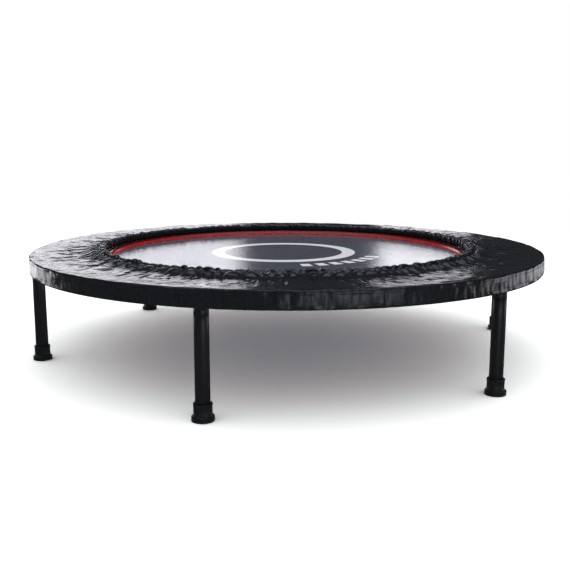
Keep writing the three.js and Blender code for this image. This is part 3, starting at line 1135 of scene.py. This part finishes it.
CAMERA_HEADING = math.radians(74.97)  # the way the camera looks, from +X
CAMERA_PITCH = math.radians(10.036)
CAMERA_PLACE = Vector((-0.8260 * COVER_R, -3.0508 * COVER_R, 0.8037 * COVER_R))
CAMERA_SENSOR, CAMERA_LENS = 36, 49.33  # millimetres


def camera():
    data = bpy.data.cameras.new("camera")
    data.sensor_width = CAMERA_SENSOR
    data.lens = CAMERA_LENS
    eye = bpy.data.objects.new("camera", data)
    eye.location = CAMERA_PLACE
    look = Vector((
        math.cos(CAMERA_HEADING) * math.cos(CAMERA_PITCH),
        math.sin(CAMERA_HEADING) * math.cos(CAMERA_PITCH),
        -math.sin(CAMERA_PITCH),
    ))
    eye.rotation_euler = look.to_track_quat("-Z", "Y").to_euler()
    bpy.context.scene.collection.objects.link(eye)
    bpy.context.scene.camera = eye


def softbox(name, right, distance, height, width, tall, power, color=(1, 1, 1)):
    """A rectangular light round the object, at an angle to the right of where the camera looks."""
    data = bpy.data.lights.new(name, "AREA")
    data.shape = "RECTANGLE"
    data.size = width
    data.size_y = tall
    data.energy = power
    data.color = color
    lamp = bpy.data.objects.new(name, data)
    heading = CAMERA_HEADING - math.radians(right)
    lamp.location = (distance * math.cos(heading), distance * math.sin(heading), height)
    aim = Vector((0, 0, COVER_Z)) - lamp.location
    lamp.rotation_euler = aim.to_track_quat("-Z", "Y").to_euler()
    lamp.visible_camera = False
    bpy.context.scene.collection.objects.link(lamp)
    return lamp


def light_only(lamp, piece, state):
    """state INCLUDE: the lamp lights this piece alone. state EXCLUDE: it lights all but this piece."""
    group = bpy.data.collections.new(lamp.name + "_receivers")
    group.objects.link(piece)
    group.collection_objects[0].light_linking.link_state = state
    lamp.light_linking.receiver_collection = group


def world():
    """White to the camera, and soft light for the object. In reflections, dim but for a glow overhead."""
    made = bpy.data.worlds.new("world")
    made.use_nodes = True
    tree = made.node_tree
    back = tree.nodes["Background"]

    def node(kind, **values):
        new = tree.nodes.new("ShaderNode" + kind)
        for key, value in values.items():
            setattr(new, key, value)
        return new

    def either(ray, otherwise, value):
        """value for this kind of ray, and otherwise for the others."""
        choice = node("Mix", data_type="RGBA")  # inputs 6 and 7 are its two colours
        tree.links.new(path.outputs[ray], choice.inputs[0])
        for socket, shade in ((choice.inputs[6], otherwise), (choice.inputs[7], value)):
            if isinstance(shade, bpy.types.NodeSocket):
                tree.links.new(shade, socket)
            else:
                socket.default_value = shade
        return choice.outputs[2]

    def rising(start, end, low, high):
        """A colour that goes from low to high as the direction turns upwards."""
        lift = node("MapRange", interpolation_type="SMOOTHSTEP")
        tree.links.new(up.outputs["Z"], lift.inputs["Value"])
        lift.inputs["From Min"].default_value = start
        lift.inputs["From Max"].default_value = end
        shade = node("Mix", data_type="RGBA")
        tree.links.new(lift.outputs[0], shade.inputs[0])
        shade.inputs[6].default_value = low
        shade.inputs[7].default_value = high
        return shade.outputs[2]

    path = node("LightPath")
    up = node("SeparateXYZ")
    tree.links.new(node("TexCoord").outputs["Generated"], up.inputs[0])
    soft = rising(0.15, 0.80, grey(SKY_LOW), grey(SKY_HIGH))
    shine = rising(0.65, 1.00, grey(SHINE_LOW, 0.1), grey(SHINE_HIGH, 0.1))
    seen = either("Is Camera Ray", soft, grey(1.0))
    tree.links.new(either("Is Glossy Ray", seen, shine), back.inputs["Color"])
    made.cycles.sampling_method = "NONE"  # so that each kind of ray meets its own strength
    bpy.context.scene.world = made


COOL = (0.95, 0.94, 1.0)
ground = floor()
camera()
world()

# wide lamps beyond the object, mirrored in its top, and low ones beside it, mirrored in the skirt:
# name, degrees right, distance, height, width, height of the lamp, power
for lamp in (
    softbox("left_wall_low", -17.3, 5.45, 0.45, 2.6, 0.8, 6.0, COOL),
    softbox("left_wall_high", -17.3, 5.45, 1.15, 2.5, 0.6, 14, COOL),
    softbox("right_wall", 12.9, 5.43, 0.66, 0.76, 1.2, 5.6, COOL),
    softbox("left_low", -64, 1.2, 0.10, 0.87, 0.2, 1.2, COOL),
    softbox("right_low", 84, 1.2, 0.10, 1.28, 0.2, 1.1, COOL),
    softbox("front_low", 161, 1.2, 0.10, 0.75, 0.2, 0.50, (0.90, 0.91, 1.0)),
):
    light_only(lamp, ground, "EXCLUDE")

# higher copies for the mat alone, where the hem hides the others from it
for lamp in (
    softbox("left_mat", -17.3, 5.45, 1.75, 2.6, 1.0, 4, COOL),
    softbox("right_mat", 12.9, 5.43, 1.65, 0.76, 1.0, 6, COOL),
):
    light_only(lamp, mat_sheet_piece, "INCLUDE")

top_light = softbox("top", 0, 0.3, 3.2, 2.0, 2.0, 25)
top_light.visible_glossy = False  # unseen in reflections, or every puff of the hem mirrors it
light_only(top_light, ground, "EXCLUDE")

bpy.context.scene.view_settings.view_transform = "Standard"
